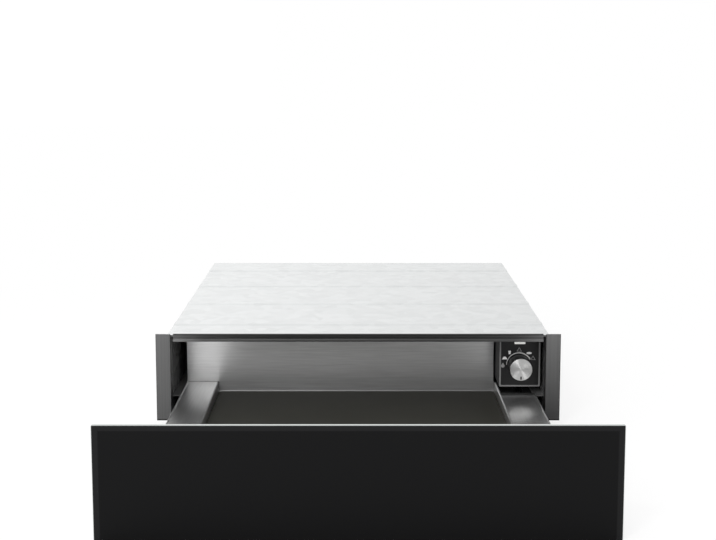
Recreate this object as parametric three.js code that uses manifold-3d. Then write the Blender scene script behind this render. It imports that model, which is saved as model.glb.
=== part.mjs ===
// Built-in warming drawer for a kitchen housing of 600 mm, drawn with its drawer pulled out.
// Millimetres. X points to the right, Y into the housing and Z up.
// The origin lies under the middle of the cabinet, in the plane of its front frame.
import * as THREE from 'three';
import { mergeVertices } from 'three/addons/utils/BufferGeometryUtils.js';
import Module from 'manifold-3d';

const wasm = await Module();
wasm.setup();

// Clearances
const seat = 0.3; // between fixed pieces that rest on each other
const runningGap = 0.8; // between pieces that slide past each other
const turnedSides = 24; // flats round a small turned piece
const fineSides = 32; // flats round a turned piece that shows
const cornerSteps = 2; // flats in a rounded corner
const bendSteps = 3; // flats in a sheet bend
const slotSteps = 1; // flats in a quarter of a baffle slot's end
const roundEnd = 0.499; // radius of a slot's ends over its width, so that the arcs stay apart

// Cabinet shell
const bodyWidth = 556;
const bodyHeight = 127.5;
const bodySheet = 1;
const bendRadius = 1.6; // of the middle line of a sheet bend
const sideFlange = 12;
const baseLip = 4;
const roofBeads = 4;
const roofBeadHeight = 1.2;
const roofBeadTop = 14;
const roofBeadSlope = 4;

// Front frame
const frameOverlap = 17; // of the columns over the housing's sides
const frameRise = 1.5; // of the frame above the roof
const columnReveal = 3.4; // of the columns past the side panels
const columnFace = 2;
const columnEdge = 0.6;
const columnReturn = 22;
const columnReturnSheet = 1.5;
const columnLand = 0.4; // raised rear face that rests on the housing's edge
const columnLandInset = 2; // from the cabinet's side to the land
const barGap = 4.1;
const barHeight = 10.7;
const barDepth = 4; // of its top flange, which holds down the front edge of the roof
const barWall = 2.4;
const barTopFlange = 1.2;
const barFoot = 8;
const barFootSheet = 1.5;
const barGroove = 1.4;
const barGrooveDrop = 4.4; // from the top of the bar to its groove
const barLip = 0.8;
const barLipHeight = 2.6;

// Slides: three members with two ball cages, thinnest across X
const slideHeight = 26;
const slideThickness = 12.7;
const slideFront = 30; // from the front plane to the closed slide
const slideRearInset = 2.8;
const railSheet = 1.2;
const railBend = 0.9;
const railLip = 1.8;
const railStep = 1.1; // from the edge of one member to the edge of the next
const webGap = 0.6;
const ballDiameter = 2.4;
const ballGap = 0.15;
const ballPitch = 24;
const ballSides = 6;
const ballRings = 4;
const cageSheet = 0.6;
const cageLength = 180;
const railHoleDiameter = 4.5;
const railHoleInset = 28;
const slideFloorGap = 1.6;
const channelSheet = 1.2;

// Drawer tray, back wall and mat
const trayGap = 13.4; // from the side panel to the edge of the ledge
const traySheet = 0.8;
const trayLength = 433.4; // from the inner front to the back wall
const trayHem = 1.8;
const leftLedge = 47.6;
const rightLedge = 53.1;
const recessDepth = 17.2;
const ledgeCutGap = 3; // from the cut end of the right ledge to the drawn drawer's control box
const ledgeCutReturn = 3;
const wallFootBend = 3.2;
const wallFoot = 0.6;
const wallTopGap = 13.3;
const wallHem = 7;
const matThickness = 2.9;
const matGap = 1.6;
const matCorner = 6;
const hangerFlange = 14;
const hangerInset = 15;
const hangerDrop = 6; // below the middle of the slide

// Drawer front
const openTravel = 344; // from closed to the drawn position
const closedGap = 1.7; // between the closed inner front and the frame
const glassOverlap = 3.5; // of the glass past the columns
const glassTopInset = 3;
const glassDrop = 9; // of the glass below the cabinet
const glassThickness = 4;
const glassEdge = 0.7;
const glassCorner = 1.5;
const frontDepth = 16; // from the glass to the back of the inner front
const carrierSheet = 1.2;
const carrierInset = 8;
const carrierLip = 6;
const innerFrontInset = 4; // from the carrier to the inner front, at the sides
const innerFrontTop = 14; // from the top of the glass to the inner front
const innerFrontBottom = 2;
const bracketWidth = 16;
const bracketSheet = 1.5;
const bracketDepth = 28;
const bracketHeight = 70;
const bracketInset = 3;
const bracketHole = 4.4;
const bracketHoles = 2;
const bracketHolePitch = 24;

// Control box
const controlWidth = 60.7;
const controlSideGap = 5.3;
const controlRise = 8.9; // above the ledge
const controlSetback = 38;
const controlDepth = 68;
const controlWall = 1.5;
const wallToControl = 2.4;
const panelHeight = 74;
const panelThickness = 2;
const panelRim = 2.2;
const panelRimRise = 0.8;
const panelCorner = 1.5;
const lampWidth = 16;
const lampHeight = 3;
const lampDrop = 6.2; // from the top of the panel to the lamp
const lampDepth = 9;
const lampCorner = 0.75;
const knobRise = 32.3; // from the bottom of the panel
const knobLeft = 31.6; // from the right edge of the panel
const knobDiameter = 34;
const knobProtrusion = 23;
const knobTaper = 0.6;
const knobRound = 1;
const knobBore = 12;
const knobCapDiameter = 32.8;
const knobCapThickness = 1.2;
const knobCapDish = 0.35;
const tickWidth = 1.5;
const tickLength = 4.2;
const tickRadius = 12.4;
const shaftDiameter = 6;
const regulatorWidth = 34;
const regulatorHeight = 30;
const regulatorDepth = 24;
const regulatorNeck = 10;
const regulatorTabs = 3;
const tabWidth = 6.3;
const tabThickness = 0.8;
const tabLength = 8;
const tabPitch = 9;

// Rear compartment with fan and heating element
const rearGap = 7.2; // from the closed drawer to the baffle
const fanSpace = 78; // from the baffle to the rear panel
const fanElementGap = 3.75;
const fanWidth = 22;
const fanGap = 8;
const fanBlades = 18;
const fanBladeLength = 15;
const fanBladeSheet = 1.2;
const fanBladeSweep = 0.5; // radians from the root of a blade to its tip
const fanBladeSteps = 2;
const fanBladeInset = 1.25; // from the rim to the tip of a blade
const fanPlate = 1.4;
const fanRing = 5;
const fanHubDiameter = 14;
const fanShaftDiameter = 5;
const motorGap = 10;
const motorHeight = 48;
const motorStack = 20;
const motorNear = 18; // from the shaft to the end of the core beside the rotor
const motorFar = 42; // from the shaft to the end of the core inside the coil
const motorLimb = 12;
const motorYoke = 8;
const motorCorner = 2;
const rotorDiameter = 22;
const coilWall = 8;
const coilLength = 26;
const coilCorner = 3;
const strapWidth = 16;
const strapHalf = 20;
const strapFoot = 12;
const strapSheet = 1.2;
const strapHole = 12;
const elementGap = 13.75; // from the base or the roof to the middle of the ring
const elementTube = 6.5;
const elementLeg = 14; // from the middle to each leg
const elementSides = 8;
const elementSteps = 48;
const flangeWidth = 52;
const flangeHeight = 18;
const flangeSheet = 1.5;
const intakeSlots = 7;
const intakeSlotPitch = 9;
const intakeInset = 7; // from the fan's rim to the edge of the intake
const intakeSlotWidth = 4;
const outletSlots = 16;
const outletSlotPitch = 30;
const outletSlotLength = 22;
const outletSlotWidth = 5;
const outletDrop = 12; // from the roof to the outlet slots
const thermostatDiameter = 18;
const thermostatHeight = 10;
const thermostatStep = 1.8;
const thermostatOffset = 84;
const thermostatRise = 30;
const rearVents = 8;
const rearVentPitch = 7;
const rearVentLength = 46;
const rearVentWidth = 3;

// Push latches and mains inlet
const latchInset = 88; // from the cabinet's side
const latchRise = 46;
const latchWidth = 18;
const latchHeight = 15;
const latchCorner = 0.6;
const latchLength = 56;
const plungerDiameter = 6;
const plungerTip = 9;
const plungerTipLength = 3;
const plungerLength = 34;
const latchBoreLength = 36;
const inletInset = 73; // from the cabinet's side
const inletDrop = 30;
const inletBore = 9;
const inletWall = 2.6;
const inletFlange = 3.4;
const inletFlangeThickness = 3;
const blockWays = 3;
const blockPitch = 14;
const blockDepth = 20;
const blockHeight = 22;
const blockNotch = 2.4;
const blockNotchDepth = 12;
const blockWell = 7;
const blockWellSides = 8;
const blockOffset = 50; // from the inlet to the terminal block
const inletNeck = 4; // of the bushing inside the rear panel

// Places worked out from the sizes above
const bodyHalf = bodyWidth / 2;
const innerHalf = bodyHalf - bodySheet;
const frameHalf = bodyHalf + frameOverlap;
const frameHeight = bodyHeight + frameRise;
const roofBottom = bodyHeight - bodySheet;
const flangeTop = roofBottom - seat - bodySheet;
const flangeBottom = bodySheet + seat + bodySheet;
const columnInner = innerHalf - columnReveal;
const barBottom = frameHeight - barHeight;

const ledgeTop = bodySheet + slideFloorGap + slideHeight + runningGap + traySheet;
const ledgeMiddle = ledgeTop - traySheet / 2;
const trayHalf = innerHalf - trayGap;
const recessLeft = -trayHalf + leftLedge;
const recessRight = trayHalf - rightLedge;
const recessFloor = ledgeTop - recessDepth;
const matTop = recessFloor + seat + matThickness;

const frontBack = -openTravel - closedGap; // rear face of the inner front
const trayFront = frontBack + seat;
const wallFront = trayFront + trayLength;
const ledgeEnd = controlSetback - ledgeCutGap;
const closedRear = wallFront + traySheet + openTravel;
const baffleFront = closedRear + rearGap;
const baffleBack = baffleFront + bodySheet;
const rearInside = baffleBack + fanSpace;
const shellEnd = rearInside - seat;
const bodyDepth = rearInside + bodySheet;
const glassBack = frontBack - frontDepth - seat;
const glassTop = frameHeight - glassTopInset;
const glassHalf = frameHalf + glassOverlap;

const slideMiddle = ledgeTop - traySheet - runningGap - slideHeight / 2;
const slideRear = closedRear - slideRearInset;
const raceHeight = railSheet + ballDiameter + 2 * ballGap;
const middleRailHeight = slideHeight - 2 * raceHeight;
const innerRailHeight = middleRailHeight - 2 * raceHeight;
const slideInner = trayHalf - bracketInset - slideThickness; // drawer face of the slide, from the middle
const slideOuter = slideInner + slideThickness;
const channelWeb = slideOuter + seat + channelSheet / 2;
const hangerWeb = slideInner - seat - channelSheet / 2;

const controlRight = innerHalf - controlSideGap;
const controlLeft = controlRight - controlWidth;
const controlBottom = ledgeTop + controlRise;
const controlTop = flangeTop - seat;
const wallRight = controlLeft - wallToControl;
const panelBack = controlSetback + panelThickness;
const panelTop = controlBottom + panelHeight;
const knobX = controlRight - knobLeft;
const knobZ = controlBottom + knobRise;
const knobFront = controlSetback - knobProtrusion;
const knobBack = controlSetback - runningGap;
const lampX = (controlLeft + controlRight) / 2;
const lampZ = panelTop - lampDrop - lampHeight / 2;

const elementRadius = bodyHeight / 2 - elementGap;
const fanDiameter = 2 * (elementRadius - elementTube / 2 - fanElementGap);
const intakeRadius = fanDiameter / 2 - intakeInset;
const fanZ = bodyHeight / 2;
const fanFront = baffleBack + fanGap;
const fanBack = fanFront + fanWidth;
const motorFront = fanBack + motorGap;
const motorBack = motorFront + motorStack;
const inletOffset = bodyHalf - inletInset;
const inletZ = bodyHeight - inletDrop;
const latchOffset = bodyHalf - latchInset;
const plungerFront = closedRear + seat;
const latchFront = baffleBack + seat;

const painted = new THREE.MeshStandardMaterial({ color: 0x1b1b1c, roughness: 0.6, metalness: 0.1 });
const galvanised = new THREE.MeshStandardMaterial({ color: 0xc6cacc, roughness: 0.45, metalness: 1 });
const anodised = new THREE.MeshStandardMaterial({ color: 0x5c5c5e, roughness: 0.42, metalness: 0.7 });
const stainless = new THREE.MeshStandardMaterial({ color: 0xa3a29f, roughness: 0.32, metalness: 1 });
const zinc = new THREE.MeshStandardMaterial({ color: 0xa8abad, roughness: 0.4, metalness: 1 });
const blackGlass = new THREE.MeshStandardMaterial({ color: 0x0c0c0d, roughness: 0.05, metalness: 0 });
const rubber = new THREE.MeshStandardMaterial({ color: 0x33322c, roughness: 0.85, metalness: 0 });
const blackPlastic = new THREE.MeshStandardMaterial({ color: 0x202021, roughness: 0.5, metalness: 0 });
const spunAluminium = new THREE.MeshStandardMaterial({ color: 0xbcbcba, roughness: 0.3, metalness: 1 });
const lampWhite = new THREE.MeshStandardMaterial({ color: 0xf0f0ec, roughness: 0.3, metalness: 0 });
const ceramic = new THREE.MeshStandardMaterial({ color: 0xd9d4c8, roughness: 0.6, metalness: 0 });
const copper = new THREE.MeshStandardMaterial({ color: 0x9c5a33, roughness: 0.4, metalness: 0.8 });

const axisX = new THREE.Vector3(1, 0, 0);
const axisY = new THREE.Vector3(0, 1, 0);
const axisZ = new THREE.Vector3(0, 0, 1);
const sectionAxes = {
  x: new THREE.Matrix4().makeBasis(axisY, axisZ, axisX), // drawn in y and z
  y: new THREE.Matrix4().makeBasis(axisX, axisZ, axisY.clone().negate()), // drawn in x and z
  z: new THREE.Matrix4(), // drawn in x and y
};

function toSolid(geometry) {
  const bare = geometry.clone();
  bare.deleteAttribute('normal');
  bare.deleteAttribute('uv');
  const merged = mergeVertices(bare, 1e-4);
  const vertProperties = new Float32Array(merged.attributes.position.array);
  const triVerts = new Uint32Array(merged.index.array);
  return new wasm.Manifold(new wasm.Mesh({ numProp: 3, vertProperties, triVerts }));
}

function toGeometry(solid) {
  const mesh = solid.getMesh();
  const geometry = new THREE.BufferGeometry();
  geometry.setAttribute('position', new THREE.BufferAttribute(mesh.vertProperties, 3));
  geometry.setIndex(new THREE.BufferAttribute(mesh.triVerts, 1));
  geometry.computeVertexNormals();
  return geometry;
}

function join(...pieces) {
  return toGeometry(pieces.map(toSolid).reduce((whole, piece) => whole.add(piece)));
}

function cut(body, ...tools) {
  return toGeometry(tools.map(toSolid).reduce((rest, tool) => rest.subtract(tool), toSolid(body)));
}

// A section carried straight along one axis, with an optional bevel at both ends.
function sweep(shape, axis, from, to, bevel = 0, steps = cornerSteps) {
  const geometry = new THREE.ExtrudeGeometry(shape, {
    depth: to - from - 2 * bevel,
    bevelEnabled: bevel > 0,
    bevelThickness: bevel,
    bevelSize: bevel,
    bevelOffset: -bevel,
    bevelSegments: cornerSteps,
    curveSegments: steps,
  });
  geometry.translate(0, 0, bevel);
  geometry.applyMatrix4(sectionAxes[axis]);
  const start = { x: [from, 0, 0], y: [0, to, 0], z: [0, 0, from] };
  return geometry.translate(...start[axis]);
}

function block([x0, x1], [y0, y1], [z0, z1]) {
  const geometry = new THREE.BoxGeometry(Math.abs(x1 - x0), y1 - y0, z1 - z0);
  return geometry.translate((x0 + x1) / 2, (y0 + y1) / 2, (z0 + z1) / 2);
}

function rodAlongY(diameter, x, z, y0, y1, sides = turnedSides) {
  const geometry = new THREE.CylinderGeometry(diameter / 2, diameter / 2, y1 - y0, sides);
  return geometry.translate(x, (y0 + y1) / 2, z);
}

function rodAlongX(diameter, y, z, x0, x1) {
  const geometry = new THREE.CylinderGeometry(diameter / 2, diameter / 2, Math.abs(x1 - x0), turnedSides);
  return geometry.rotateZ(Math.PI / 2).translate((x0 + x1) / 2, y, z);
}

// A body turned about an axis along Y, from radius and Y of its section.
function turned(profile, x, z, sides = fineSides) {
  const points = profile.map(([radius, y]) => new THREE.Vector2(radius, y));
  return new THREE.LatheGeometry(points, sides).translate(x, 0, z);
}

function outline(points) {
  return new THREE.Shape(points.map(([a, b]) => new THREE.Vector2(a, b)));
}

function roundedRectangle([x0, x1], [z0, z1], radius) {
  const shape = new THREE.Shape();
  shape.absarc(x1 - radius, z1 - radius, radius, 0, Math.PI / 2);
  shape.absarc(x0 + radius, z1 - radius, radius, Math.PI / 2, Math.PI);
  shape.absarc(x0 + radius, z0 + radius, radius, Math.PI, 1.5 * Math.PI);
  shape.absarc(x1 - radius, z0 + radius, radius, 1.5 * Math.PI, 2 * Math.PI);
  return shape;
}

// A slot with round ends, lying along the first axis of its drawing.
function slot(x, z, length, width) {
  const height = [z - width / 2, z + width / 2];
  return roundedRectangle([x - length / 2, x + length / 2], height, width * roundEnd);
}

function circle(x, z, diameter) {
  return slot(x, z, diameter, diameter);
}

// A number of places spread evenly about a middle.
function spread(count, pitch) {
  return Array.from({ length: count }, (_, i) => (i - (count - 1) / 2) * pitch);
}

// The outline of a folded sheet, from the corners of its middle line.
function foldedSheet(corners, thickness, radius = bendRadius) {
  const points = corners.map(([a, b]) => new THREE.Vector2(a, b));
  const heading = (i) => points[i + 1].clone().sub(points[i]).normalize();
  const left = [];
  const right = [];
  const edge = (point, direction) => {
    const across = new THREE.Vector2(-direction.y, direction.x).multiplyScalar(thickness / 2);
    left.push(point.clone().add(across));
    right.unshift(point.clone().sub(across));
  };
  edge(points[0], heading(0));
  for (let i = 1; i < points.length - 1; i += 1) {
    const before = heading(i - 1);
    const after = heading(i);
    const turn = Math.atan2(before.cross(after), before.dot(after));
    const start = points[i].clone().addScaledVector(before, -radius * Math.tan(Math.abs(turn) / 2));
    const toCentre = new THREE.Vector2(-before.y, before.x).multiplyScalar(radius * Math.sign(turn));
    const centre = start.clone().add(toCentre);
    for (let step = 0; step <= bendSteps; step += 1) {
      const angle = (turn * step) / bendSteps;
      const direction = before.clone().rotateAround(new THREE.Vector2(), angle);
      edge(start.clone().rotateAround(centre, angle), direction);
    }
  }
  edge(points.at(-1), heading(points.length - 2));
  return new THREE.Shape([...left, ...right]);
}

const group = new THREE.Group();

function add(name, geometry, material) {
  const mesh = new THREE.Mesh(geometry, material);
  mesh.name = name;
  group.add(mesh);
}

const sides = [['left', -1], ['right', 1]];
const mirrored = (points, side) => points.map(([x, z]) => [side * x, z]);

// Base, sides, roof and rear panel of the cabinet
function basePan() {
  const middle = bodySheet / 2;
  const front = columnFace + seat + columnReturn + seat + middle;
  const section = [[front, bodySheet + baseLip], [front, middle], [shellEnd, middle]];
  const pan = sweep(foldedSheet(section, bodySheet), 'x', -bodyHalf, bodyHalf);
  const notches = sides.map(([, side]) => block(
    [side * (innerHalf - sideFlange - seat), side * (bodyHalf + seat)].sort((a, b) => a - b),
    [front - bendRadius, front + bendRadius],
    [bodySheet, 2 * bodySheet + baseLip],
  ));
  return cut(pan, ...notches);
}

function sidePanel(side) {
  const web = bodyHalf - bodySheet / 2;
  const top = flangeTop + bodySheet / 2;
  const bottom = flangeBottom - bodySheet / 2;
  const edge = innerHalf - sideFlange;
  const section = mirrored([[edge, top], [web, top], [web, bottom], [edge, bottom]], side);
  const front = Math.max(columnFace + columnLand, barWall) + seat;
  return sweep(foldedSheet(section, bodySheet), 'y', front, shellEnd);
}

function roof() {
  const low = roofBottom + bodySheet / 2;
  const high = low + roofBeadHeight;
  const front = barWall + seat;
  const section = [[front, low]];
  spread(roofBeads, (shellEnd - front) / roofBeads).forEach((offset) => {
    const middle = (front + shellEnd) / 2 + offset;
    const top = roofBeadTop / 2;
    section.push([middle - top - roofBeadSlope, low], [middle - top, high]);
    section.push([middle + top, high], [middle + top + roofBeadSlope, low]);
  });
  section.push([shellEnd, low]);
  return sweep(foldedSheet(section, bodySheet), 'x', -bodyHalf, bodyHalf);
}

function rearPanel() {
  const shape = outline([[-bodyHalf, 0], [bodyHalf, 0], [bodyHalf, bodyHeight], [-bodyHalf, bodyHeight]]);
  spread(rearVents, rearVentPitch).forEach((offset) => {
    shape.holes.push(slot(0, fanZ + offset, rearVentLength, rearVentWidth));
  });
  shape.holes.push(circle(inletOffset, inletZ, inletBore + 2 * inletWall + 2 * seat));
  return sweep(shape, 'y', rearInside, bodyDepth);
}

add('base_pan', basePan(), galvanised);
sides.forEach(([word, side]) => add(`${word}_side_panel`, sidePanel(side), galvanised));
add('roof_panel', roof(), galvanised);
add('rear_panel', rearPanel(), galvanised);

// Front frame: two columns and the bar above the opening
function column(side) {
  const [inner, outer] = [side * columnInner, side * frameHalf].sort((a, b) => a - b);
  const face = new THREE.Shape();
  face.moveTo(outer, columnFace);
  face.lineTo(inner, columnFace);
  face.absarc(inner + columnEdge, columnEdge, columnEdge, Math.PI, 1.5 * Math.PI);
  face.absarc(outer - columnEdge, columnEdge, columnEdge, 1.5 * Math.PI, 2 * Math.PI);
  const returnOuter = innerHalf - seat;
  const web = block(
    [side * (returnOuter - columnReturnSheet), side * returnOuter],
    [columnFace / 2, columnFace + columnReturn],
    [flangeBottom + bendRadius + seat, flangeTop - bendRadius - seat],
  );
  const land = block(
    [side * (bodyHalf + columnLandInset), side * frameHalf],
    [columnFace / 2, columnFace + columnLand],
    [0, frameHeight],
  );
  return join(sweep(face, 'z', 0, frameHeight), land, web);
}

function topBar() {
  const half = columnInner - barGap;
  const grooveTop = frameHeight - barGrooveDrop;
  const grooveBottom = grooveTop - barGroove;
  const lipTop = barBottom + barLipHeight;
  const footTop = barBottom + barFootSheet;
  const section = outline([
    [0, frameHeight],
    [0, grooveTop],
    [barWall / 2, grooveTop],
    [barWall / 2, grooveBottom],
    [0, grooveBottom],
    [0, lipTop + barLip],
    [-barLip, lipTop],
    [-barLip, barBottom],
    [barFoot, barBottom],
    [barFoot, footTop],
    [barWall, footTop],
    [barWall, frameHeight - barTopFlange],
    [barDepth, frameHeight - barTopFlange],
    [barDepth, frameHeight],
  ]);
  return sweep(section, 'x', -half, half);
}

sides.forEach(([word, side]) => add(`${word}_front_column`, column(side), anodised));
add('top_front_bar', topBar(), anodised);

// Ball-bearing slides. A depth is counted from the cabinet face of the slide towards the drawer.
function railSection(webDepth, edgeDepth, height, lip, side) {
  const face = height / 2 - railSheet / 2;
  const points = [[edgeDepth, face], [webDepth, face], [webDepth, -face], [edgeDepth, -face]];
  if (lip > 0) {
    points.unshift([edgeDepth, face - lip]);
    points.push([edgeDepth, -face + lip]);
  }
  return points.map(([depth, z]) => [side * (slideOuter - depth), slideMiddle + z]);
}

function rail(webDepth, edgeDepth, height, lip, side, shift) {
  const shape = foldedSheet(railSection(webDepth, edgeDepth, height, lip, side), railSheet, railBend);
  const body = sweep(shape, 'y', slideFront - shift, slideRear - shift);
  const places = [slideFront + railHoleInset, slideRear - railHoleInset];
  const web = side * (slideOuter - webDepth);
  const tools = places.map((y) => (
    rodAlongX(railHoleDiameter, y - shift, slideMiddle, web - railSheet, web + railSheet)
  ));
  return cut(body, ...tools);
}

function ballCage(webDepth, edgeDepth, race, ballDepth, side, shift) {
  const points = [[edgeDepth, race], [webDepth, race], [webDepth, -race], [edgeDepth, -race]];
  const section = points.map(([depth, z]) => [side * (slideOuter - depth), slideMiddle + z]);
  const middle = (slideFront + slideRear) / 2 - shift;
  const [front, back] = [middle - cageLength / 2, middle + cageLength / 2];
  const strip = sweep(foldedSheet(section, cageSheet, cageSheet), 'y', front, back);
  const balls = [];
  spread(Math.floor(cageLength / ballPitch), ballPitch).forEach((offset) => {
    [race, -race].forEach((height) => {
      const ball = new THREE.SphereGeometry(ballDiameter / 2, ballSides, ballRings);
      const x = side * (slideOuter - ballDepth);
      balls.push(ball.translate(x, middle + offset, slideMiddle + height));
    });
  });
  return join(strip, ...balls);
}

const outerWeb = railSheet / 2;
const outerCageWeb = railSheet + webGap + cageSheet / 2;
const middleWeb = outerCageWeb + cageSheet / 2 + webGap + railSheet / 2;
const innerCageWeb = middleWeb + railSheet / 2 + webGap + cageSheet / 2;
const innerEdge = innerCageWeb + cageSheet / 2 + webGap;
const outerEdge = slideThickness - railStep - railSheet / 2;
const middleEdge = outerEdge - railStep;
const innerWeb = slideThickness - railSheet / 2;
const outerRace = slideHeight / 2 - railSheet - ballGap - ballDiameter / 2;
const innerRace = middleRailHeight / 2 - railSheet - ballGap - ballDiameter / 2;
const outerBallDepth = (middleWeb + outerEdge) / 2;
const innerBallDepth = (innerEdge + middleEdge) / 2;
const outerCageEdge = outerBallDepth + ballDiameter / 2;
const innerCageEdge = innerBallDepth + ballDiameter / 2;
const middleTravel = openTravel / 2;
const outerCageTravel = middleTravel / 2; // a cage goes half as far as the two members it runs between
const innerCageTravel = (middleTravel + openTravel) / 2;

sides.forEach(([word, side]) => {
  const outer = rail(outerWeb, outerEdge, slideHeight, railLip, side, 0);
  const middle = rail(middleWeb, middleEdge, middleRailHeight, railLip, side, middleTravel);
  const inner = rail(innerWeb, innerEdge, innerRailHeight, 0, side, openTravel);
  add(`${word}_outer_rail`, outer, zinc);
  add(`${word}_middle_rail`, middle, zinc);
  add(`${word}_inner_rail`, inner, zinc);
  const outerCage = ballCage(
    outerCageWeb, outerCageEdge, outerRace, outerBallDepth, side, outerCageTravel,
  );
  const innerCage = ballCage(
    innerCageWeb, innerCageEdge, innerRace, innerBallDepth, side, innerCageTravel,
  );
  add(`${word}_outer_ball_cage`, outerCage, zinc);
  add(`${word}_inner_ball_cage`, innerCage, zinc);
});

// Channels that hold the slides off the side panels, and hangers that carry the ledges
function slideChannel(side) {
  const top = slideMiddle + slideHeight / 2 - runningGap - channelSheet / 2;
  const bottom = flangeBottom + bendRadius + channelSheet / 2;
  const edge = innerHalf - seat;
  const section = mirrored([[edge, top], [channelWeb, top], [channelWeb, bottom], [edge, bottom]], side);
  return sweep(foldedSheet(section, channelSheet), 'y', slideFront, slideRear);
}

function hanger(side) {
  const top = ledgeTop - traySheet - seat - channelSheet / 2;
  const section = mirrored([
    [hangerWeb, slideMiddle - hangerDrop],
    [hangerWeb, top],
    [hangerWeb - hangerFlange, top],
  ], side);
  return sweep(foldedSheet(section, channelSheet), 'y', trayFront + hangerInset, ledgeEnd);
}

sides.forEach(([word, side]) => {
  add(`${word}_slide_channel`, slideChannel(side), painted);
  add(`${word}_ledge_hanger`, hanger(side), zinc);
});

// Drawer: tray with its two ledges, back wall and mat
function tray() {
  const edge = trayHalf - traySheet / 2;
  const floor = recessFloor - traySheet / 2;
  const hem = ledgeMiddle + trayHem;
  const section = [
    [-edge, hem],
    [-edge, ledgeMiddle],
    [recessLeft, ledgeMiddle],
    [recessLeft, floor],
    [recessRight, floor],
    [recessRight, ledgeMiddle],
    [edge, ledgeMiddle],
    [edge, hem],
  ];
  const body = sweep(foldedSheet(section, traySheet), 'y', trayFront, wallFront - seat);
  const notch = block(
    [recessRight + ledgeCutReturn, trayHalf + traySheet],
    [ledgeEnd, wallFront],
    [recessFloor, hem + traySheet],
  );
  return cut(body, notch);
}

function backWall() {
  const top = barBottom - wallTopGap;
  const middle = wallFront + traySheet / 2;
  const plate = outline([
    [-trayHalf, ledgeTop + seat],
    [recessLeft + traySheet, ledgeTop + seat],
    [recessLeft + traySheet, recessFloor + recessDepth / 2],
    [wallRight, recessFloor + recessDepth / 2],
    [wallRight, top - traySheet],
    [-trayHalf, top - traySheet],
  ]);
  const footZ = recessFloor + seat + traySheet / 2;
  const footSection = foldedSheet([
    [middle - wallFootBend - wallFoot, footZ],
    [middle, footZ],
    [middle, ledgeTop],
  ], traySheet, wallFootBend);
  const foot = sweep(footSection, 'x', recessLeft + traySheet, recessRight - traySheet);
  const hemSection = foldedSheet([
    [middle, top - wallHem],
    [middle, top - traySheet / 2],
    [middle + wallHem, top - traySheet / 2],
    [middle + wallHem, top - wallHem],
  ], traySheet);
  const hem = sweep(hemSection, 'x', -trayHalf, wallRight);
  return join(sweep(plate, 'y', wallFront, wallFront + traySheet), foot, hem);
}

function mat() {
  const span = [recessLeft + matGap, recessRight - matGap];
  const footFront = wallFront + traySheet / 2 - wallFootBend - wallFoot;
  const shape = roundedRectangle(span, [trayFront + matGap, footFront - seat], matCorner);
  return sweep(shape, 'z', recessFloor + seat, matTop);
}

add('drawer_tray', tray(), stainless);
add('drawer_back_wall', backWall(), stainless);
add('anti_slip_mat', mat(), rubber);

// Drawer front: glass, carrier plate, inner front and the brackets that tie it to the ledges
function glassFront() {
  const shape = roundedRectangle([-glassHalf, glassHalf], [-glassDrop, glassTop], glassCorner);
  return sweep(shape, 'y', glassBack - glassThickness, glassBack, glassEdge);
}

function carrier() {
  const half = glassHalf - carrierInset;
  const [bottom, top] = [carrierInset - glassDrop, glassTop - carrierInset];
  const front = glassBack + seat + carrierSheet / 2;
  const section = foldedSheet([
    [front + carrierLip, bottom],
    [front, bottom],
    [front, top],
    [front + carrierLip, top],
  ], carrierSheet);
  return sweep(section, 'x', -half, half);
}

function innerFront() {
  const half = glassHalf - carrierInset - innerFrontInset;
  const back = frontBack - traySheet / 2;
  const front = glassBack + 2 * seat + carrierSheet;
  const top = glassTop - innerFrontTop;
  const bottom = innerFrontBottom;
  const section = foldedSheet([[front, top], [back, top], [back, bottom], [front, bottom]], traySheet);
  return sweep(section, 'x', -half, half);
}

function frontBracket(side) {
  const outer = trayHalf - bracketInset;
  const inner = outer - bracketWidth;
  const foot = ledgeTop + seat;
  const front = trayFront;
  const back = front + bracketDepth;
  const width = [side * inner, side * outer];
  const flange = block(width, [front, front + bracketSheet], [foot, foot + bracketHeight]);
  const base = block(width, [front, back], [foot, foot + bracketSheet]);
  const web = outline([
    [front, foot],
    [back, foot],
    [back, foot + bracketSheet * 2],
    [front + bracketSheet * 2, foot + bracketHeight],
    [front, foot + bracketHeight],
  ]);
  const [x0, x1] = [side * (outer - bracketSheet), side * outer].sort((a, b) => a - b);
  const middle = side * (inner + (bracketWidth - bracketSheet) / 2);
  const [before, behind] = [front - bracketSheet, front + 2 * bracketSheet];
  const holes = spread(bracketHoles, bracketHolePitch).map((offset) => (
    rodAlongY(bracketHole, middle, foot + bracketHeight / 2 + offset, before, behind)
  ));
  return cut(join(flange, base, sweep(web, 'x', x0, x1)), ...holes);
}

add('glass_front', glassFront(), blackGlass);
add('front_carrier', carrier(), painted);
add('inner_front', innerFront(), stainless);
sides.forEach(([word, side]) => add(`${word}_front_bracket`, frontBracket(side), zinc));

// Control box: housing, panel with its rim, lamp, knob and regulator
function lampHole(front, back) {
  return block(
    [lampX - lampWidth / 2 - seat, lampX + lampWidth / 2 + seat],
    [front, back],
    [lampZ - lampHeight / 2 - seat, lampZ + lampHeight / 2 + seat],
  );
}

function neckHole(front, back) {
  return rodAlongY(regulatorNeck + 2 * seat, knobX, knobZ, front, back);
}

function controlHousing() {
  const front = panelBack + seat;
  const back = controlSetback + controlDepth;
  const shell = block([controlLeft, controlRight], [front, back], [controlBottom, controlTop]);
  const hollow = block(
    [controlLeft + controlWall, controlRight - controlWall],
    [front + controlWall, back + controlWall],
    [controlBottom + controlWall, controlTop - controlWall],
  );
  const [before, behind] = [front - controlWall, front + 2 * controlWall];
  return cut(shell, hollow, lampHole(before, behind), neckHole(before, behind));
}

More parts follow.
